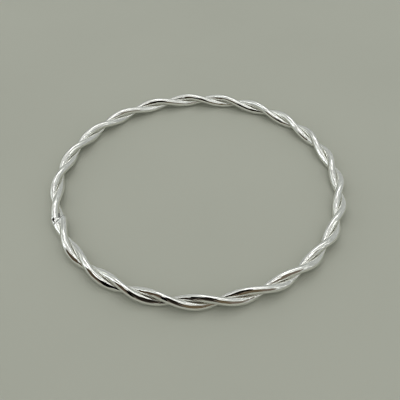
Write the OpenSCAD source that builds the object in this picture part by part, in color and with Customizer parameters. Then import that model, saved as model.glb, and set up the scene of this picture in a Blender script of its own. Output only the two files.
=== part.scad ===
// Twisted wire bangle: two round silver wires twisted into a rope, bent into a
// closed ring and soldered end to end. It lies on its side, with +Z up, the floor
// at z = 0 and the origin on the floor at the middle of the ring.

/* [Ring] */
// Clear width inside the bangle
inner_d = 65; // [60:0.5:72]
// How far the soldered ends stand in from the true circle
joint_dip = 0.29; // [0:0.01:0.5]
// Half width of that flatter stretch, as an angle round the ring
joint_dip_angle = 8.3; // [5:0.1:15]

/* [Wires] */
// Diameter of each of the two wires
wire_d = 1.75; // [1.5:0.05:2.2]
// How far the wires are pressed into each other where they touch
wire_press = 0.03; // [0.02:0.01:0.08]

/* [Twist] */
// Full turns of the pair round the whole ring, so that each wire meets its own end
turns = 11; // [8:1:14]
// Lean of the pair at +X, from straight up towards the outside
twist_start = 244.4; // [0:0.1:360]
// How much the hand-made twist runs ahead of an even one at +Y, and behind it at -Y
twist_drift = 12.4; // [0:0.1:20]

/* [Solder joint] */
// Place of the joint round the ring, anticlockwise from +X
joint_at = 199; // [180:0.5:220]
// Length of the solder along the ring
solder_length = 2; // [1.6:0.1:3]
// How far the solder stands proud of the wires
solder_proud = 0.06; // [0.02:0.01:0.12]
// How much of the groove between the wires the solder fills, at its middle
solder_fill = 0.8; // [0.3:0.05:0.9]
// Diameter of the pit left in the solder
pit_d = 0.5; // [0.4:0.05:0.6]
// Depth of the pit below the surface of the wire
pit_depth = 0.3; // [0.2:0.05:0.4]
// Distance of the pit along the ring from the middle of the joint
pit_along = 0.1; // [-0.6:0.1:0.6]
// Turn of the pit round the outer wire, from the outside up towards the top
pit_turn = 65; // [10:5:70]

/* [Smoothness] */
// Flat sides of each wire, from one line of contact round to the other
wire_sides = 12; // [8:2:14]
// Sections round the ring, outside the joint
ring_steps = 176; // [132:4:200]
// Sections across the joint
joint_steps = 20; // [12:4:24]

/* [Hidden] */
joint_margin = 1.3; // length of the finely stepped stretch, in lengths of the solder
groove_full = 0.5; // width of the fully filled part of the groove, in widths of the groove
pit_sides = 48;

wire_r = wire_d / 2;
wire_off = wire_r - wire_press / 2; // from the pair's middle to each wire's middle
pair_r = wire_off + wire_r;
ring_r = inner_d / 2 + pair_r;
lean = atan(turns * wire_off / ring_r); // of each wire to the ring's own line
contact = 180 - acos(wire_off / wire_r); // angle on a wire where it meets the other
joint_half = joint_margin * solder_length / 2 / ring_r * 180 / PI; // half of that stretch
step_angle = (360 - 2 * joint_half) / ring_steps;
pit_cut_r = (pit_d * pit_d / 4 + pit_depth * pit_depth) / (2 * pit_depth);

// Azimuths of the sections: close together across the joint, then evenly on round.
stations = concat(
    [for (i = [0 : joint_steps - 1]) joint_at + joint_half * (2 * i / joint_steps - 1)],
    [for (i = [0 : ring_steps - 1]) joint_at + joint_half + i * step_angle]
);

// Shortest way from the joint to azimuth a, in degrees.
function from_joint(a) = (a - joint_at + 540) % 360 - 180;

// Radius of the ring's own line, pulled in a little at the joint.
function line_r(a) = ring_r - joint_dip * exp(-pow(from_joint(a) / joint_dip_angle, 2) / 2);

// Lean of the pair at azimuth a, from straight up towards the outside.
function pair_lean(a) = twist_start + turns * a + twist_drift * sin(a);

// Solder at azimuth a: 1 at the middle of the joint, 0 from its ends on.
function solder(a) =
    let (s = min(1, abs(from_joint(a)) * PI / 180 * ring_r / (solder_length / 2)))
    (1 + cos(180 * s)) / 2;

// Unit directions in the upright plane at azimuth a: outwards and up.
function outwards(a) = [cos(a), sin(a), 0];
function across(a, turn) = sin(turn) * outwards(a) + [0, 0, cos(turn)];

// One wire's outline in the pair's own directions: x runs from the pair's middle to
// the wire's, and y is widened for the wire's lean to the section.
wire_outline = [for (i = [0 : wire_sides - 1])
    let (t = contact * (2 * i / wire_sides - 1))
    [wire_off + wire_r * cos(t), wire_r * sin(t) / cos(lean)]
];
pair_outline = concat(wire_outline, [for (p = wire_outline) -p]);

// A point of the outline with solder on it, which fills the groove and stands proud.
function soldered(p, amount) =
    let (
        groove = max(0, 1 - abs(p.x) / wire_off),
        fill = min(1, groove / groove_full) * solder_fill * amount,
        y = p.y + fill * (sign(p.y) * wire_r - p.y)
    )
    [p.x, y] * (1 + solder_proud * amount / wire_r);

// The pair's section at azimuth a, set upright on the ring's own line.
function section(a) =
    let (turn = pair_lean(a), amount = solder(a))
    [for (p = pair_outline)
        let (q = soldered(p, amount))
        line_r(a) * outwards(a) + [0, 0, pair_r]
            + q.x * across(a, turn) + q.y * across(a, turn - 90)
    ];

// Two wires twisted together into one closed ring, as one solid with its solder.
module wire_rope() {
    around = len(pair_outline);
    rings = len(stations);
    function corner(i, j) = (i % rings) * around + j % around;
    polyhedron(
        points = [for (a = stations) each section(a)],
        faces = [for (i = [0 : rings - 1], j = [0 : around - 1]) each [
            [corner(i, j), corner(i, j + 1), corner(i + 1, j + 1)],
            [corner(i, j), corner(i + 1, j + 1), corner(i + 1, j)]
        ]]
    );
}

// The small round pit that the solder left on the outer wire at the joint.
module solder_pit() {
    a = joint_at + pit_along / ring_r * 180 / PI;
    middle = line_r(a) * outwards(a) + [0, 0, pair_r] + wire_off * across(a, pair_lean(a) + 180);
    translate(middle + (wire_r - pit_depth + pit_cut_r) * across(a, 90 - pit_turn))
        sphere(r = pit_cut_r, $fn = pit_sides);
}

module twisted_bangle() {
    color("silver")
        difference() {
            wire_rope();
            solder_pit();
        }
}

twisted_bangle();
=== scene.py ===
import math
from collections import namedtuple

import bpy
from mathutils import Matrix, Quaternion, Vector, noise


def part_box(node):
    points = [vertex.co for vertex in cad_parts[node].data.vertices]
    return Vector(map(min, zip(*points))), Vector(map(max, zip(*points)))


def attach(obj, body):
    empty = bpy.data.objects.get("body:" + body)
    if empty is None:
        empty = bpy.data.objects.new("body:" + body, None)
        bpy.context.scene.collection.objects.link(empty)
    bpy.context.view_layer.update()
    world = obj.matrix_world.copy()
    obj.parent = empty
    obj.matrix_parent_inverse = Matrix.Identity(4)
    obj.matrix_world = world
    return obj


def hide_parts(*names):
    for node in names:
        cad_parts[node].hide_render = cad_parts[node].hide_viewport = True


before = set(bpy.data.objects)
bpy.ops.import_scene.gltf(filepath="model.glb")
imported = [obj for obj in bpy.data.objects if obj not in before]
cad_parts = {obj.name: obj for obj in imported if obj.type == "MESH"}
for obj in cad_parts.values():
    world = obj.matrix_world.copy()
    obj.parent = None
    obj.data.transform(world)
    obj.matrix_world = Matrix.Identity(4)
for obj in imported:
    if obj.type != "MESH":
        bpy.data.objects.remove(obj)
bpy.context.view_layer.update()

# Lengths are in metres and angles in radians, but the tables further down give millimetres
# and degrees. +Z is up, the floor is at z = 0 and the origin is on the floor at the middle
# of the ring. An azimuth on the ring runs anticlockwise from +X, seen from above.
MM = 0.001

# Ring and wires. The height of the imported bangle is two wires, one on the other.
BANGLE = "twisted_bangle"
lowest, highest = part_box(BANGLE)
PAIR_R = (highest.z - lowest.z) / 2
WIRE_R = PAIR_R / 2
INNER_R = 65 * MM / 2
RING_R = INNER_R + PAIR_R

# Twist of the pair: full turns round the ring, lean at +X from straight up towards the
# outside, and how far it runs ahead of an even twist at +Y and behind it at -Y
TURNS = 11
TWIST_START = math.radians(244.4)
TWIST_DRIFT = math.radians(12.4)

# Solder joint, where the ring stands in a little from its true circle
JOINT_AT = math.radians(199)
JOINT_DIP = 0.29 * MM
JOINT_DIP_ANGLE = math.radians(8.3)

# From the middle of the joint to the end of each wire, and to each end of the solder's skin
END_GAP = 0.6 * MM
SOLDER_HALF = 3.0 * MM


# Small helpers

# A Mix node's colour sockets share their names with its other sockets, so they go by number,
# as a maths node's do.
COLOUR_A = 6
COLOUR_B = 7
MIXED = 2


def colour(code):
    """An sRGB hex value as a linear colour with alpha."""
    parts = [int(code[i:i + 2], 16) / 255 for i in (0, 2, 4)]
    linear = [c / 12.92 if c <= 0.04045 else ((c + 0.055) / 1.055) ** 2.4 for c in parts]
    return (*linear, 1)


def add(tree, kind, inputs=None, **settings):
    """Adds a node with its settings, and fills or links its inputs by name or number."""
    node = tree.nodes.new(kind)
    for name, value in settings.items():
        setattr(node, name, value)
    for name, value in (inputs or {}).items():
        if isinstance(value, bpy.types.NodeSocket):
            tree.links.new(value, node.inputs[name])
        else:
            node.inputs[name].default_value = value
    return node


def new_material(name):
    """An empty node material, and its tree."""
    material = bpy.data.materials.new(name)
    material.use_nodes = True
    material.node_tree.nodes.clear()
    return material, material.node_tree


def soft_patch(tree, spans):
    """1 on a patch and 0 off it. A span is a place on it, its half width and its softness."""
    covers = []
    for place, half_width, soft in spans:
        away = add(tree, "ShaderNodeMath", {0: place}, operation="ABSOLUTE")
        covers.append(add(tree, "ShaderNodeMapRange", {
            "Value": away.outputs["Value"],
            "From Min": half_width + soft / 2,
            "From Max": half_width - soft / 2,
        }, interpolation_type="SMOOTHSTEP").outputs["Result"])
    cover = add(tree, "ShaderNodeMath", {0: covers[0], 1: covers[1]}, operation="MULTIPLY")
    return cover.outputs["Value"]


def show(name, mesh):
    """Links a mesh into the scene as an object at the origin."""
    piece = bpy.data.objects.new(name, mesh)
    bpy.context.scene.collection.objects.link(piece)
    return piece


# Materials

# Sizes of their patterns, from one crest to the next. The die lines are about 0.02 mm apart
# on the real wire, and are drawn 0.3 mm apart so that they show.
DIE_LINES = 0.3 * MM
POLISHING_HAZE = 4 * MM
DENTS = 1.15 * MM
SOLDER_GRAIN = 0.2 * MM
BOARD_CLOUDS = 60 * MM

# Depths of the relief in the wire and in the solder
DIE_LINE_DEPTH = 0.012 * MM
DENT_DEPTH = 0.13 * MM
GRAIN_DEPTH = 0.01 * MM


def wire_relief(tree, place, groove, lines):
    """The die lines and, down where the wires face each other, the dents of the twisting.

    Polishing took the dents off the outer sides.
    """
    dents = add(tree, "ShaderNodeTexNoise", {
        "Vector": place, "Scale": 1 / DENTS, "Detail": 1,
    })
    worn = add(tree, "ShaderNodeMapRange", {
        "Value": groove, "From Min": -0.1, "From Max": 0.7, "To Min": 0.1, "To Max": 1,
    }, interpolation_type="SMOOTHSTEP")
    dented = add(tree, "ShaderNodeMath", {
        0: dents.outputs["Fac"], 1: worn.outputs["Result"],
    }, operation="MULTIPLY")
    scored = add(tree, "ShaderNodeBump", {
        "Height": lines, "Distance": DIE_LINE_DEPTH, "Strength": 1,
    })
    relief = add(tree, "ShaderNodeBump", {
        "Height": dented.outputs["Value"], "Distance": DENT_DEPTH, "Strength": 1,
        "Normal": scored.outputs["Normal"],
    })
    return relief.outputs["Normal"]


def drawn_silver_wire():
    """Sterling silver wire, drawn through a die and polished after it was twisted.

    The eye sees a bright mirror with hard-edged reflections, that are drawn out along
    the wire by faint die lines, and a softer shine down in the groove, where its colour
    is also a little darker, as painted shade between the wires.
    """
    material, tree = new_material("drawn_and_polished_silver_wire")
    place = add(tree, "ShaderNodeAttribute", attribute_name="wire_place").outputs["Vector"]
    groove = add(tree, "ShaderNodeAttribute", attribute_name="groove").outputs["Fac"]
    # A die line runs on along the wire, and is about 30 times as long as it is wide.
    drawn_out = add(tree, "ShaderNodeMapping", {"Vector": place, "Scale": (1, 1, 0.03)})
    lines = add(tree, "ShaderNodeTexNoise", {
        "Vector": drawn_out.outputs["Vector"], "Scale": 1 / DIE_LINES, "Detail": 3,
    }).outputs["Fac"]
    haze = add(tree, "ShaderNodeTexNoise", {
        "Vector": place, "Scale": 1 / POLISHING_HAZE, "Detail": 2,
    })
    hazed = add(tree, "ShaderNodeMapRange", {
        "Value": haze.outputs["Fac"], "From Min": 0.35, "From Max": 0.7, "To Min": 0.02, "To Max": 0.05,
    })
    # Polishing reaches less far down the groove, so the silver is rougher there. Its colour there is also
    # a little darker: painted shade between the wires.
    less_polished_and_shaded = add(tree, "ShaderNodeMapRange", {
        "Value": groove, "From Min": 0.35, "From Max": 0.95, "To Min": 0, "To Max": 1,
    }, interpolation_type="SMOOTHSTEP").outputs["Result"]
    rough = add(tree, "ShaderNodeMath", {
        0: less_polished_and_shaded, 1: 0.3, 2: hazed.outputs["Result"],
    }, operation="MULTIPLY_ADD")
    bright = add(tree, "ShaderNodeMix", {
        "Factor": lines, COLOUR_A: colour("FAFAF8"), COLOUR_B: colour("F2F2EE"),
    }, data_type="RGBA")
    # Down in the groove the colour goes a little darker, as painted shade between the wires.
    tone = add(tree, "ShaderNodeMix", {
        "Factor": less_polished_and_shaded, COLOUR_A: bright.outputs[MIXED], COLOUR_B: colour("F4F4F0"),
    }, data_type="RGBA")
    shader = add(tree, "ShaderNodeBsdfPrincipled", {
        "Base Color": tone.outputs[MIXED],
        "Metallic": 1,
        "Roughness": rough.outputs["Value"],
        "Normal": wire_relief(tree, place, groove, lines),
    })
    add(tree, "ShaderNodeOutputMaterial", {"Surface": shader.outputs["BSDF"]})
    return material


def silver_solder():
    """Hard silver solder, flowed with a torch and lightly polished over.

    The eye sees a whiter, softer and lumpier shine than the wire's, and burnt flux as a
    black speck down in the pit and a grey line along the seam. The flux is matt and
    porous, so it loses the metal's mirror and the gloss as well.
    """
    material, tree = new_material("hard_silver_solder")
    place = add(tree, "ShaderNodeTexCoord").outputs["Object"]
    residue = add(tree, "ShaderNodeAttribute", attribute_name="residue").outputs["Fac"]
    grain = add(tree, "ShaderNodeTexNoise", {
        "Vector": place, "Scale": 1 / SOLDER_GRAIN, "Detail": 3,
    }).outputs["Fac"]
    metal = add(tree, "ShaderNodeMix", {
        "Factor": grain, COLOUR_A: colour("FDFDFC"), COLOUR_B: colour("F1F2F0"),
    }, data_type="RGBA")
    stained = add(tree, "ShaderNodeMix", {
        "Factor": residue, COLOUR_A: metal.outputs[MIXED], COLOUR_B: colour("0A0806"),
    }, data_type="RGBA")
    bare = add(tree, "ShaderNodeMath", {0: 1, 1: residue}, operation="SUBTRACT").outputs["Value"]
    gloss = add(tree, "ShaderNodeMath", {0: bare, 1: 0.5}, operation="MULTIPLY")
    grained = add(tree, "ShaderNodeMapRange", {
        "Value": grain, "From Min": 0.3, "From Max": 0.7, "To Min": 0.07, "To Max": 0.17,
    })
    rough = add(tree, "ShaderNodeMath", {
        0: residue, 1: 0.5, 2: grained.outputs["Result"],
    }, operation="MULTIPLY_ADD")
    relief = add(tree, "ShaderNodeBump", {
        "Height": grain, "Distance": GRAIN_DEPTH, "Strength": 1,
    })
    shader = add(tree, "ShaderNodeBsdfPrincipled", {
        "Base Color": stained.outputs[MIXED],
        "Metallic": bare,
        "Roughness": rough.outputs["Value"],
        "Specular IOR Level": gloss.outputs["Value"],
        "Normal": relief.outputs["Normal"],
    })
    add(tree, "ShaderNodeOutputMaterial", {"Surface": shader.outputs["BSDF"]})
    return material


def pale_board():
    """Matt coated board, as in a photo studio. The eye sees an even, pale grey ground."""
    material, tree = new_material("matt_pale_board")
    clouds = add(tree, "ShaderNodeTexNoise", {
        "Vector": add(tree, "ShaderNodeTexCoord").outputs["Object"],
        "Scale": 1 / BOARD_CLOUDS,
        "Detail": 4,
    })
    tone = add(tree, "ShaderNodeMix", {
        "Factor": clouds.outputs["Fac"], COLOUR_A: colour("C7C8BD"), COLOUR_B: colour("BEBFB4"),
    }, data_type="RGBA")
    shader = add(tree, "ShaderNodeBsdfPrincipled", {
        "Base Color": tone.outputs[MIXED],
        "Roughness": 0.6,
    })
    add(tree, "ShaderNodeOutputMaterial", {"Surface": shader.outputs["BSDF"]})
    return material


# Wires

# Steps of the wire's mesh, along it and round it
WIRE_STEPS = 1440
WIRE_SIDES = 48

# A hand-twisted wire wanders a little from its true line, by about this much over this far.
WAVINESS = 0.012 * MM
WAVE_LENGTH = 5 * MM


def ring_line(tree, given):
    """Points on a line, with each one's azimuth and radius on the ring's own line.

    They run from one side of the joint round to the other.
    """
    line = add(tree, "GeometryNodeCurvePrimitiveLine")
    points = add(tree, "GeometryNodeResampleCurve", {
        "Curve": line.outputs["Curve"], "Count": WIRE_STEPS,
    }).outputs["Curve"]
    way = add(tree, "GeometryNodeSplineParameter").outputs["Factor"]
    gap = add(tree, "ShaderNodeMath", {
        0: given["End gap"], 1: given["Ring radius"],
    }, operation="DIVIDE").outputs["Value"]
    span = add(tree, "ShaderNodeMath", {0: gap, 1: -2, 2: math.tau}, operation="MULTIPLY_ADD")
    travelled = add(tree, "ShaderNodeMath", {
        0: way, 1: span.outputs["Value"], 2: gap,
    }, operation="MULTIPLY_ADD").outputs["Value"]
    azimuth = add(tree, "ShaderNodeMath", {
        0: travelled, 1: given["Joint at"],
    }, operation="ADD").outputs["Value"]
    # The line stands in at the joint, along a bell curve.
    distance = add(tree, "ShaderNodeMath", {0: travelled, 1: math.pi}, operation="PINGPONG")
    ratio = add(tree, "ShaderNodeMath", {
        0: distance.outputs["Value"], 1: given["Joint dip angle"],
    }, operation="DIVIDE")
    squared = add(tree, "ShaderNodeMath", {0: ratio.outputs["Value"], 1: 2}, operation="POWER")
    halved = add(tree, "ShaderNodeMath", {0: squared.outputs["Value"], 1: -0.5}, operation="MULTIPLY")
    bell = add(tree, "ShaderNodeMath", {0: halved.outputs["Value"]}, operation="EXPONENT")
    dip = add(tree, "ShaderNodeMath", {
        0: bell.outputs["Value"], 1: given["Joint dip"],
    }, operation="MULTIPLY")
    radius = add(tree, "ShaderNodeMath", {
        0: given["Ring radius"], 1: dip.outputs["Value"],
    }, operation="SUBTRACT").outputs["Value"]
    return points, azimuth, radius


def wire_side(tree, given, azimuth):
    """Direction from the pair's middle to this wire, on a section at +X."""
    sway = add(tree, "ShaderNodeMath", {0: azimuth}, operation="SINE")
    wound = add(tree, "ShaderNodeMath", {
        0: azimuth, 1: given["Turns"], 2: given["Twist start"],
    }, operation="MULTIPLY_ADD")
    drifted = add(tree, "ShaderNodeMath", {
        0: sway.outputs["Value"], 1: given["Twist drift"], 2: wound.outputs["Value"],
    }, operation="MULTIPLY_ADD")
    lean = add(tree, "ShaderNodeMath", {
        0: drifted.outputs["Value"], 1: given["Half turn"],
    }, operation="ADD").outputs["Value"]
    outward = add(tree, "ShaderNodeMath", {0: lean}, operation="SINE")
    upward = add(tree, "ShaderNodeMath", {0: lean}, operation="COSINE")
    return add(tree, "ShaderNodeCombineXYZ", {
        "X": outward.outputs["Value"], "Z": upward.outputs["Value"],
    }).outputs["Vector"]


def wound_line(tree, given):
    """The wire's own middle line, with what the skin needs to know of it at each point."""
    points, azimuth, radius = ring_line(tree, given)
    side = wire_side(tree, given, azimuth)
    offset = add(tree, "ShaderNodeVectorMath", {0: side, "Scale": given["Wire radius"]}, operation="SCALE")
    middle = add(tree, "ShaderNodeCombineXYZ", {"X": radius, "Z": given["Pair radius"]})
    flat = add(tree, "ShaderNodeVectorMath", {
        0: offset.outputs["Vector"], 1: middle.outputs["Vector"],
    }, operation="ADD")
    true_place = add(tree, "ShaderNodeVectorRotate", {
        "Vector": flat.outputs["Vector"], "Angle": azimuth,
    }, rotation_type="Z_AXIS").outputs["Vector"]
    wander = add(tree, "ShaderNodeTexNoise", {
        "Vector": true_place, "W": given["Seed"], "Scale": 1 / WAVE_LENGTH, "Detail": 1,
    }, noise_dimensions="4D")
    centred = add(tree, "ShaderNodeVectorMath", {
        0: wander.outputs["Color"], 1: (0.5, 0.5, 0.5),
    }, operation="SUBTRACT")
    shift = add(tree, "ShaderNodeVectorMath", {
        0: centred.outputs["Vector"], "Scale": given["Waviness"],
    }, operation="SCALE")
    real_place = add(tree, "ShaderNodeVectorMath", {
        0: true_place, 1: shift.outputs["Vector"],
    }, operation="ADD")
    inward = add(tree, "ShaderNodeVectorMath", {0: side, "Scale": -1}, operation="SCALE")
    to_other = add(tree, "ShaderNodeVectorRotate", {
        "Vector": inward.outputs["Vector"], "Angle": azimuth,
    }, rotation_type="Z_AXIS")
    partnered = add(tree, "GeometryNodeStoreNamedAttribute", {
        "Geometry": points, "Name": "to_other", "Value": to_other.outputs["Vector"],
    }, data_type="FLOAT_VECTOR")
    wound = add(tree, "GeometryNodeSetPosition", {
        "Geometry": partnered.outputs["Geometry"], "Position": real_place.outputs["Vector"],
    })
    centred_line = add(tree, "GeometryNodeStoreNamedAttribute", {
        "Geometry": wound.outputs["Geometry"],
        "Name": "centre",
        "Value": add(tree, "GeometryNodeInputPosition").outputs["Position"],
    }, data_type="FLOAT_VECTOR")
    return add(tree, "GeometryNodeStoreNamedAttribute", {
        "Geometry": centred_line.outputs["Geometry"],
        "Name": "along",
        "Value": add(tree, "GeometryNodeSplineParameter").outputs["Length"],
    }, data_type="FLOAT").outputs["Geometry"]


def round_wire(tree, given, line):
    """The round wire, swept along its line with closed ends."""
    outline = add(tree, "GeometryNodeCurvePrimitiveCircle", {
        "Resolution": WIRE_SIDES, "Radius": given["Wire radius"],
    })
    marked = add(tree, "GeometryNodeStoreNamedAttribute", {
        "Geometry": outline.outputs["Curve"],
        "Name": "around",
        "Value": add(tree, "GeometryNodeInputPosition").outputs["Position"],
    }, data_type="FLOAT_VECTOR")
    return add(tree, "GeometryNodeCurveToMesh", {
        "Curve": line,
        "Profile Curve": marked.outputs["Geometry"],
        "Fill Caps": True,
    }).outputs["Mesh"]


def placed_wire(tree, wire):
    """The wire with its two lasting attributes, wire_place and groove."""
    around = add(tree, "GeometryNodeInputNamedAttribute", {"Name": "around"}, data_type="FLOAT_VECTOR")
    along = add(tree, "GeometryNodeInputNamedAttribute", {"Name": "along"}, data_type="FLOAT")
    run = add(tree, "ShaderNodeCombineXYZ", {"Z": along.outputs["Attribute"]})
    wire_place = add(tree, "ShaderNodeVectorMath", {
        0: around.outputs["Attribute"], 1: run.outputs["Vector"],
    }, operation="ADD")
    centre = add(tree, "GeometryNodeInputNamedAttribute", {"Name": "centre"}, data_type="FLOAT_VECTOR")
    other = add(tree, "GeometryNodeInputNamedAttribute", {"Name": "to_other"}, data_type="FLOAT_VECTOR")
    arm = add(tree, "ShaderNodeVectorMath", {
        0: add(tree, "GeometryNodeInputPosition").outputs["Position"], 1: centre.outputs["Attribute"],
    }, operation="SUBTRACT")
    facing = add(tree, "ShaderNodeVectorMath", {0: arm.outputs["Vector"]}, operation="NORMALIZE")
    closeness = add(tree, "ShaderNodeVectorMath", {
        0: facing.outputs["Vector"], 1: other.outputs["Attribute"],
    }, operation="DOT_PRODUCT")
    placed = add(tree, "GeometryNodeStoreNamedAttribute", {
        "Geometry": wire, "Name": "wire_place", "Value": wire_place.outputs["Vector"],
    }, data_type="FLOAT_VECTOR")
    kept = add(tree, "GeometryNodeStoreNamedAttribute", {
        "Geometry": placed.outputs["Geometry"], "Name": "groove", "Value": closeness.outputs["Value"],
    }, data_type="FLOAT")
    for name in ("around", "along", "centre", "to_other"):
        kept = add(tree, "GeometryNodeRemoveAttribute", {
            "Geometry": kept.outputs["Geometry"], "Name": name,
        })
    return kept.outputs["Geometry"]


def twisted_wire_tree(material):
    """A Geometry Nodes tree that winds one wire of the pair round the ring.

    The wire starts and ends inside the solder. Each point keeps its place on the wire, as
    wire_place, and how much it faces the other wire, as groove.
    """
    tree = bpy.data.node_groups.new("twisted_wire", "GeometryNodeTree")
    sizes = {
        "Ring radius": RING_R,
        "Pair radius": PAIR_R,
        "Wire radius": WIRE_R,
        "Turns": TURNS,
        "Twist start": TWIST_START,
        "Twist drift": TWIST_DRIFT,
        "Half turn": 0,
        "Joint at": JOINT_AT,
        "Joint dip": JOINT_DIP,
        "Joint dip angle": JOINT_DIP_ANGLE,
        "End gap": END_GAP,
        "Waviness": WAVINESS,
        "Seed": 1,
    }
    for name, value in sizes.items():
        socket = tree.interface.new_socket(name, in_out="INPUT", socket_type="NodeSocketFloat")
        socket.default_value = value
    tree.interface.new_socket("Geometry", in_out="OUTPUT", socket_type="NodeSocketGeometry")
    given = add(tree, "NodeGroupInput").outputs
    wire = placed_wire(tree, round_wire(tree, given, wound_line(tree, given)))
    smoothed = add(tree, "GeometryNodeSetShadeSmooth", {"Geometry": wire})
    real = add(tree, "GeometryNodeRealizeInstances", {"Geometry": smoothed.outputs["Geometry"]})
    coated = add(tree, "GeometryNodeSetMaterial", {
        "Geometry": real.outputs["Geometry"], "Material": material,
    })
    add(tree, "NodeGroupOutput", {"Geometry": coated.outputs["Geometry"]})
    return tree


def grow(name, tree, sizes):
    """Runs a tree with these inputs, and keeps its result as a plain mesh."""
    piece = show(name, bpy.data.meshes.new(name))
    modifier = piece.modifiers.new(name, "NODES")
    modifier.node_group = tree
    for socket in tree.interface.items_tree:
        if socket.in_out == "INPUT" and socket.name in sizes:
            modifier[socket.identifier] = sizes[socket.name]
    evaluated = piece.evaluated_get(bpy.context.evaluated_depsgraph_get())
    mesh = bpy.data.meshes.new_from_object(evaluated)
    piece.modifiers.remove(modifier)
    piece.data = mesh
    mesh.name = name
    return piece


# Solder joint

# A run is a distance along the ring from the joint's middle. A turn is an angle round the
# pair from its outer side, which is the second wire's here. A reach is a distance from the
# pair's middle.

# Rings of points along the solder's skin, points on each, and the skin's least reach, where
# the two wires touch
SKIN_RINGS = 150
SKIN_SIDES = 300
LEAST_REACH = 0.015 * MM

# The bead: where it stands proud of the wires, and by how much. Past its ends the skin is
# sunk into them.
BEAD_FROM = -1.0 * MM
BEAD_TO = 1.05 * MM
BEAD_SOFT = 0.6 * MM
SOLDER_PROUD = 0.08 * MM
SUNK = 0.02 * MM

# The fill: where solder lies in the groove between the wires, how high, and the reach at
# which the groove ends. It is flat wherever the sine of the turn is above FLAT_FROM.
FILL_FROM = -0.35 * MM
FILL_FROM_SOFT = 0.3 * MM
FILL_TO = 2.0 * MM
FILL_TO_SOFT = 1.1 * MM
FILL_HEIGHT = 0.78 * WIRE_R
FLAT_FROM = 0.75
GROOVE_END = 1.5 * WIRE_R
GROOVE_SOFT = 0.5 * WIRE_R

# Burnt flux that ran on down the upper groove, how high it stands there, and the reach at
# which its stain ends. UPPER_SLOPE says how fast it comes in from the sides.
FLUX_FROM = -2.2 * MM
FLUX_SOFT = 0.5 * MM
FLUX_HEIGHT = 0.5 * WIRE_R
FLUX_STAIN = 0.7
FLUX_STAIN_END = 0.8 * WIRE_R
FLUX_STAIN_SOFT = 0.3 * WIRE_R
UPPER_SLOPE = 3

# Power of the soft maximum that joins the wires' outline, the fill and the flux
JOIN_POWER = 6

# Ragged ends of the bead and the fill, coarse and fine, and lumps on top, each as an amount
# and the size of its grain. The noise is read no nearer to the pair's middle than
# NOISE_FROM, and the lumps read it elsewhere, so as not to follow the ragged ends.
RAGGED = (0.35 * MM, 0.9 * MM)
FINELY_RAGGED = (0.08 * MM, 0.3 * MM)
LUMPS = (0.018 * MM, 0.5 * MM)
LUMPS_ELSEWHERE = Vector((7, 3, 1))
NOISE_FROM = 0.3 * WIRE_R

Mark = namedtuple("Mark", "along turn half_length half_width rise stain")

# Lumps, dimples and the pit in the bead, in millimetres and degrees. A minus rise is a hollow.
MARKS = (
    # Pit, with burnt flux in it, and the rim that the solder froze in round it
    Mark(0.10, -37, 0.66, 0.56, 0.05, 0),
    Mark(0.20, -34, 0.38, 0.34, -0.40, 1),
    # Lumps above the seam, and the smoother fill below it
    Mark(-0.30, -56, 0.35, 0.30, 0.05, 0),
    Mark(0.15, -66, 0.25, 0.22, 0.03, 0),
    Mark(-0.55, -18, 0.30, 0.28, 0.04, 0),
    Mark(0.95, -34, 0.30, 0.30, 0.03, 0),
    # Grey hollow beside the seam, and a small spot of flux below it
    Mark(0.95, -60, 0.22, 0.18, -0.03, 0.25),
    Mark(1.20, -97, 0.14, 0.13, -0.03, 0.4),
)
# How far out a mark's rise and its stain end, and how softly, in its own half sizes
RISE_END = 1.25
RISE_SOFT = 0.7
STAIN_END = 1.1
STAIN_SOFT = 0.35

# The seam where the ends meet, cut at a slant, so that it crosses from wire to wire
SEAM_AT = 0.42 * MM
SEAM_SLANT = 0.9
SEAM_HALF_WIDTH = 0.13 * MM
SEAM_DEPTH = 0.07 * MM
SEAM_STAIN = 0.75


def line_radius(azimuth):
    """Radius of the ring's own line, which stands in a little at the joint."""
    from_joint = (azimuth - JOINT_AT + math.pi) % math.tau - math.pi
    return RING_R - JOINT_DIP * math.exp(-((from_joint / JOINT_DIP_ANGLE) ** 2) / 2)


def pair_middle(azimuth):
    """Direction out from the ring's middle at an azimuth, and the pair's middle there."""
    out = Vector((math.cos(azimuth), math.sin(azimuth), 0))
    return out, line_radius(azimuth) * out + Vector((0, 0, PAIR_R))


def pair_lean(azimuth):
    """Lean of the pair of wires, from straight up towards the outside of the ring."""
    return TWIST_START + TURNS * azimuth + TWIST_DRIFT * math.sin(azimuth)


def outline_reach(turn):
    """Reach of the two bare wires' outline. Each leans to the section, which widens it."""
    lean_cosine = math.cos(math.atan(TURNS * WIRE_R / RING_R))
    cosine, sine = math.cos(turn), math.sin(turn)
    return 2 * WIRE_R * abs(cosine) / (cosine * cosine + (lean_cosine * sine) ** 2)


def smooth(value):
    """A soft step from 0 to 1 as value goes from 0 to 1."""
    value = min(1, max(0, value))
    return value * value * (3 - 2 * value)


def fade(distance, end, soft):
    """1 near by, falling softly to 0 where the distance comes to the end."""
    return smooth((end - distance) / soft)


def stretch(run, start, stop, soft, soft_stop=None):
    """1 between two places along the ring and 0 outside them, with soft ends."""
    begun = smooth((run - start) / soft / 2 + 0.5)
    return begun * smooth((stop - run) / (soft_stop or soft) / 2 + 0.5)


def joint_marks(run, turn, reach):
    """How far the marks lift the bead's skin at a place on it, and how dark they stain it."""
    rise, stain = 0, 0
    for mark in MARKS:
        apart = (turn - math.radians(mark.turn) + math.pi) % math.tau - math.pi
        along = (run - mark.along * MM) / (mark.half_length * MM)
        across = apart * 2 * WIRE_R / (mark.half_width * MM)
        away = math.hypot(along, across)
        rise += mark.rise * MM * fade(away, RISE_END, RISE_SOFT)
        stain = max(stain, mark.stain * fade(away, STAIN_END, STAIN_SOFT))
    seam = SEAM_AT + SEAM_SLANT * reach * math.cos(turn)
    amount = math.exp(-(((run - seam) / SEAM_HALF_WIDTH) ** 2))
    return rise - SEAM_DEPTH * amount, max(stain, SEAM_STAIN * amount)


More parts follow.
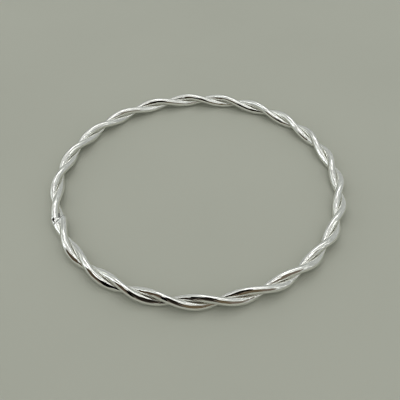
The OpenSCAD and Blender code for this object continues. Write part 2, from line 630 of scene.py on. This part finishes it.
def solder_skin(run, turn, middle, direction):
    """Reach of the solder's skin at a place on it, and how dark flux stains it there."""
    bare = outline_reach(turn)
    spot = middle + direction * max(bare, NOISE_FROM)
    ragged = sum(amount * noise.noise(spot / grain) for amount, grain in (RAGGED, FINELY_RAGGED))
    bead = stretch(run + ragged, BEAD_FROM, BEAD_TO, BEAD_SOFT)
    # The fill's ends are a third as ragged as the bead's.
    filling = stretch(run + ragged / 3, FILL_FROM, FILL_TO, FILL_FROM_SOFT, FILL_TO_SOFT)
    fill = filling * FILL_HEIGHT / max(abs(math.sin(turn)), FLAT_FROM)
    upper = smooth(-UPPER_SLOPE * math.sin(turn))
    flux = upper * stretch(run + ragged, FLUX_FROM, FILL_FROM, FLUX_SOFT)
    levels = (bare, fill, FLUX_HEIGHT * flux)
    reach = sum(level ** JOIN_POWER for level in levels) ** (1 / JOIN_POWER)
    rise, stain = joint_marks(run, turn, reach)
    soldered = max(bead, filling * fade(bare, GROOVE_END, GROOVE_SOFT))
    amount, grain = LUMPS
    lump = amount * noise.noise(spot / grain + LUMPS_ELSEWHERE)
    reach += (SOLDER_PROUD + SUNK) * bead - SUNK + (lump + rise) * soldered
    burnt = FLUX_STAIN * flux * fade(bare, FLUX_STAIN_END, FLUX_STAIN_SOFT)
    return max(reach, LEAST_REACH), max(stain * soldered, burnt)


def solder_joint(material):
    """The bead that closes both wires, as one closed skin round the pair."""
    points, residue, faces = [], [], []
    runs = [SOLDER_HALF * (2 * i / SKIN_RINGS - 1) for i in range(SKIN_RINGS + 1)]
    for run in runs:
        azimuth = JOINT_AT + run / RING_R
        out, middle = pair_middle(azimuth)
        for j in range(SKIN_SIDES):
            turn = math.tau * j / SKIN_SIDES
            tilt = pair_lean(azimuth) + math.pi + turn
            direction = math.sin(tilt) * out + Vector((0, 0, math.cos(tilt)))
            reach, stain = solder_skin(run, turn, middle, direction)
            points.append(middle + direction * reach)
            residue.append(stain)
    sides = [(j, (j + 1) % SKIN_SIDES) for j in range(SKIN_SIDES)]
    for i in range(SKIN_RINGS):
        ring, after = i * SKIN_SIDES, (i + 1) * SKIN_SIDES
        faces += [(ring + a, ring + b, after + b, after + a) for a, b in sides]
    # A fan of triangles closes each end, down inside the wires.
    last = SKIN_RINGS * SKIN_SIDES
    first_rim = [(b, a) for a, b in sides]
    last_rim = [(last + a, last + b) for a, b in sides]
    for run, rim in ((runs[0], first_rim), (runs[-1], last_rim)):
        hub = len(points)
        points.append(pair_middle(JOINT_AT + run / RING_R)[1])
        residue.append(0)
        faces += [(hub, a, b) for a, b in rim]
    mesh = bpy.data.meshes.new("solder_joint")
    mesh.from_pydata(points, [], faces)
    mesh.attributes.new("residue", "FLOAT", "POINT").data.foreach_set("value", residue)
    mesh.shade_smooth()
    mesh.materials.append(material)
    return show("solder_joint", mesh)


# Camera

# The photograph's own place, solved from the ring's outline and its crossings: it looks down
# at 46 degrees, 137 mm from the ring's middle.
CAMERA_AT = Vector((0, -97.37, 97.61)) * MM
CAMERA_LOOKS_AT = Vector((0.475, -3.98, 0)) * MM
CAMERA_ROLL = math.radians(-1.078)
# Focal length, and the width of the picture behind it, in millimetres
LENS = 50.22
PICTURE_WIDTH = 36


def photo_camera():
    """The photograph's viewpoint."""
    data = bpy.data.cameras.new("camera")
    data.sensor_width = PICTURE_WIDTH
    data.lens = LENS
    data.clip_start = 10 * MM
    camera = bpy.data.objects.new("camera", data)
    bpy.context.scene.collection.objects.link(camera)
    camera.location = CAMERA_AT
    camera.rotation_mode = "QUATERNION"
    aim = (CAMERA_LOOKS_AT - CAMERA_AT).to_track_quat("-Z", "Y")
    camera.rotation_quaternion = aim @ Quaternion((0, 0, 1), CAMERA_ROLL)
    bpy.context.scene.camera = camera


# How the picture turns light into what the eye sees, and how much it is sharpened
EYE_GAMMA = 2.2
SHARPENING = 0.12


def crisp_picture():
    """A light sharpening, as the photograph's own camera gives.

    A camera sharpens the brightness as the eye sees it, and not the light itself.
    """
    scene = bpy.context.scene
    scene.use_nodes = True
    tree = scene.node_tree
    tree.nodes.clear()
    picture = add(tree, "CompositorNodeRLayers")
    seen = add(tree, "CompositorNodeGamma", {
        "Image": picture.outputs["Image"], "Gamma": 1 / EYE_GAMMA,
    })
    sharp = add(tree, "CompositorNodeFilter", {
        "Fac": SHARPENING, "Image": seen.outputs["Image"],
    }, filter_type="SHARPEN_DIAMOND")
    light = add(tree, "CompositorNodeGamma", {
        "Image": sharp.outputs["Image"], "Gamma": EYE_GAMMA,
    })
    add(tree, "CompositorNodeComposite", {"Image": light.outputs["Image"]})


# Floor

FLOOR_R = 1500 * MM
FLOOR_SIDES = 96


def pale_floor():
    """A round board under the bangle, far wider than the picture."""
    turns = [math.tau * i / FLOOR_SIDES for i in range(FLOOR_SIDES)]
    corners = [(FLOOR_R * math.cos(turn), FLOOR_R * math.sin(turn), 0) for turn in turns]
    mesh = bpy.data.meshes.new("floor")
    mesh.from_pydata(corners, [], [range(FLOOR_SIDES)])
    mesh.materials.append(pale_board())
    show("floor", mesh)


# Light tent

Glow = namedtuple("Glow", "azimuth half_width low high soft tone strength")

# What the silver mirrors far off. Azimuths run from the camera's side towards +X, low and
# high are elevations, all in degrees, and a later row covers an earlier one.
TENT_CLOTH = "B0B3AF"
TENT = (
    # Paler cloth higher up, and the lamp overhead
    Glow(0, 200, 36, 100, 24, "C2C5C0", 1.0),
    Glow(0, 200, 60, 100, 12, "D0D1CC", 1.0),
    Glow(0, 200, 83, 100, 3, "FFFFFC", 1.4),
    # Broad soft light at the back, with brighter bands across it
    Glow(180, 48, 46, 76, 8, "EEEFEB", 1.0),
    Glow(180, 44, 51, 56, 3, "FCFDFA", 1.0),
    Glow(180, 22, 50, 57, 4, "FCFDFA", 1.5),
    Glow(180, 24, 65, 72, 4, "FCFDFA", 1.5),
    # Window on the left
    Glow(-104, 9, 4, 66, 8, "DCE0DC", 1.0),
    Glow(-91, 5, 10, 64, 3, "FAFFFE", 1.2),
    Glow(-121, 10, 22, 34, 6, "E4E8DE", 1.0),
    # Narrow strip lights on the right, and a soft light above them
    Glow(66, 2.8, 14, 64, 3, "F8FAF4", 1.15),
    Glow(82, 3, 12, 56, 3, "F8FAF4", 1.1),
    Glow(66, 14, 61, 79, 6, "F4F8F4", 1.0),
)
# The plain ground that the camera sees in place of the tent
BACKGROUND = "C4C6BE"


def sky_angles(tree, parts):
    """Azimuth and elevation, in degrees, of a direction in the sky."""
    front = add(tree, "ShaderNodeMath", {0: parts["Y"], 1: -1}, operation="MULTIPLY")
    turn = add(tree, "ShaderNodeMath", {
        0: parts["X"], 1: front.outputs["Value"],
    }, operation="ARCTAN2")
    azimuth = add(tree, "ShaderNodeMath", {0: turn.outputs["Value"]}, operation="DEGREES")
    slope = add(tree, "ShaderNodeMath", {0: parts["Z"]}, operation="ARCSINE")
    elevation = add(tree, "ShaderNodeMath", {0: slope.outputs["Value"]}, operation="DEGREES")
    return azimuth.outputs["Value"], elevation.outputs["Value"]


def tent_colour(tree, azimuth, elevation):
    """Colour of the tent, with its lights one over another."""
    seen = add(tree, "ShaderNodeRGB").outputs["Color"]
    seen.default_value = colour(TENT_CLOTH)
    for glow in TENT:
        apart = add(tree, "ShaderNodeMath", {0: azimuth, 1: glow.azimuth}, operation="SUBTRACT")
        beside = add(tree, "ShaderNodeMath", {
            0: apart.outputs["Value"], 1: 180, 2: -180,
        }, operation="WRAP")
        above = add(tree, "ShaderNodeMath", {
            0: elevation, 1: (glow.low + glow.high) / 2,
        }, operation="SUBTRACT")
        cover = soft_patch(tree, (
            (beside.outputs["Value"], glow.half_width, glow.soft),
            (above.outputs["Value"], (glow.high - glow.low) / 2, glow.soft),
        ))
        tone = [glow.strength * part for part in colour(glow.tone)[:3]] + [1]
        seen = add(tree, "ShaderNodeMix", {
            "Factor": cover, COLOUR_A: seen, COLOUR_B: tone,
        }, data_type="RGBA").outputs[MIXED]
    return seen


def cloth_folds(tree, way, parts, elevation):
    """Brightness of the tent's cloth: upright folds, and softer creases across them.

    The cloth hangs smooth low down, where it is stretched.
    """
    level = add(tree, "ShaderNodeCombineXYZ", {"X": parts["X"], "Y": parts["Y"]})
    round_way = add(tree, "ShaderNodeVectorMath", {0: level.outputs["Vector"]}, operation="NORMALIZE")
    waves = []
    for place, scale, darkest, brightest in (
        (round_way.outputs["Vector"], 7, 0.78, 1.12),
        (way, 6, 0.62, 1.52),
    ):
        clouds = add(tree, "ShaderNodeTexNoise", {
            "Vector": place, "Scale": scale, "Detail": 3, "Roughness": 0.6,
        })
        waves.append(add(tree, "ShaderNodeMapRange", {
            "Value": clouds.outputs["Fac"], "From Min": 0.35, "From Max": 0.65,
            "To Min": darkest, "To Max": brightest,
        }).outputs["Result"])
    folded = add(tree, "ShaderNodeMath", {0: waves[0], 1: waves[1]}, operation="MULTIPLY")
    loose = add(tree, "ShaderNodeMapRange", {
        "Value": elevation, "From Min": 20, "From Max": 50, "To Min": 0.4, "To Max": 1,
    }, interpolation_type="SMOOTHSTEP")
    return add(tree, "ShaderNodeMix", {
        "Factor": loose.outputs["Result"], "A": 1.0, "B": folded.outputs["Value"],
    }).outputs["Result"]


def studio_light():
    """The light tent, drawn on the sky, with a plain pale ground for the camera."""
    world = bpy.data.worlds.new("studio")
    bpy.context.scene.world = world
    world.use_nodes = True
    tree = world.node_tree
    tree.nodes.clear()
    way = add(tree, "ShaderNodeTexCoord").outputs["Generated"]
    parts = add(tree, "ShaderNodeSeparateXYZ", {"Vector": way}).outputs
    azimuth, elevation = sky_angles(tree, parts)
    tent = add(tree, "ShaderNodeBackground", {
        "Color": tent_colour(tree, azimuth, elevation),
        "Strength": cloth_folds(tree, way, parts, elevation),
    })
    plain = add(tree, "ShaderNodeBackground", {"Color": colour(BACKGROUND), "Strength": 1})
    path = add(tree, "ShaderNodeLightPath")
    both = add(tree, "ShaderNodeMixShader", {
        0: path.outputs["Is Camera Ray"],
        1: tent.outputs["Background"],
        2: plain.outputs["Background"],
    })
    add(tree, "ShaderNodeOutputWorld", {"Surface": both.outputs["Shader"]})


# Dark cloths

Shade = namedtuple("Shade", "across height half_width half_tall turn soft tone")

# What the silver mirrors close by, on the camera's side, drawn on one sheet between the lens
# and the bangle. Places are right of and above the line of sight.
SHEET_AHEAD = 60 * MM
SHEET_LEFT = -330 * MM
SHEET_RIGHT = 150 * MM
SHEET_LOW = -76 * MM
SHEET_HIGH = 80 * MM
# In millimetres and degrees, and a later row covers an earlier one
SHADES = (
    # Broad grey and brown cloths
    Shade(-12, -40, 100, 48, 0, 26, "8E897E"),
    Shade(-78, -38, 46, 30, 0, 20, "746C62"),
    Shade(-140, -26, 46, 30, 0, 24, "5E5448"),
    Shade(-90, -2, 54, 32, 12, 16, "544A3D"),
    Shade(20, -44, 20, 44, 0, 12, "665B49"),
    Shade(56, -32, 24, 28, 20, 14, "746B61"),
    Shade(-15, -60, 17, 26, 0, 10, "554E47"),
    # Narrow, almost black ones on top of them
    Shade(-58, -50, 10, 34, -30, 8, "242220"),
    Shade(3, 8, 8, 26, 0, 8, "3A322A"),
    Shade(-10, 20, 13, 30, 0, 12, "302E2A"),
    Shade(-17, -14, 15, 32, 0, 10, "24211C"),
    Shade(-42, -18, 10, 32, -17, 7, "070605"),
)


def dark_cloths():
    """Dark cloths on a clear sheet. The eye sees them in the silver, as its dark bands."""
    material, tree = new_material("dark_cloths")
    place = add(tree, "ShaderNodeTexCoord").outputs["Object"]
    seen = add(tree, "ShaderNodeBsdfTransparent").outputs["BSDF"]
    for shade in SHADES:
        local = add(tree, "ShaderNodeMapping", {
            "Vector": place,
            "Location": (shade.across * MM, shade.height * MM, 0),
            "Rotation": (0, 0, math.radians(shade.turn)),
            "Scale": (shade.half_width * MM, shade.half_tall * MM, 1),
        }, vector_type="TEXTURE")
        parts = add(tree, "ShaderNodeSeparateXYZ", {"Vector": local.outputs["Vector"]}).outputs
        cover = soft_patch(tree, (
            (parts["X"], 1, shade.soft / shade.half_width),
            (parts["Y"], 1, shade.soft / shade.half_tall),
        ))
        cloth = add(tree, "ShaderNodeEmission", {"Color": colour(shade.tone)})
        seen = add(tree, "ShaderNodeMixShader", {
            0: cover, 1: seen, 2: cloth.outputs["Emission"],
        }).outputs["Shader"]
    add(tree, "ShaderNodeOutputMaterial", {"Surface": seen})
    return material


def dark_sheet():
    """The sheet that carries the dark cloths, which only the silver's mirror sees."""
    mesh = bpy.data.meshes.new("dark_sheet")
    mesh.from_pydata([
        (SHEET_LEFT, SHEET_LOW, 0), (SHEET_RIGHT, SHEET_LOW, 0),
        (SHEET_RIGHT, SHEET_HIGH, 0), (SHEET_LEFT, SHEET_HIGH, 0),
    ], [], [range(4)])
    mesh.materials.append(dark_cloths())
    sheet = show("dark_sheet", mesh)
    look = (CAMERA_LOOKS_AT - CAMERA_AT).normalized()
    sheet.location = CAMERA_AT + look * SHEET_AHEAD
    sheet.rotation_mode = "QUATERNION"
    sheet.rotation_quaternion = look.to_track_quat("-Z", "Y")
    sheet.visible_camera = False
    sheet.visible_diffuse = False
    sheet.visible_shadow = False


photo_camera()
crisp_picture()
bpy.context.scene.view_settings.view_transform = "Standard"
# Light that goes to and fro between the two wires needs more turns than the default.
bpy.context.scene.cycles.max_bounces = 20
bpy.context.scene.cycles.glossy_bounces = 16
studio_light()
dark_sheet()
pale_floor()

wire_tree = twisted_wire_tree(drawn_silver_wire())
pieces = [
    grow("first_wire", wire_tree, {"Seed": 1}),
    grow("second_wire", wire_tree, {"Seed": 2, "Half turn": math.pi}),
    solder_joint(silver_solder()),
]
for piece in pieces:
    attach(piece, "root")
    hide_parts(BANGLE)
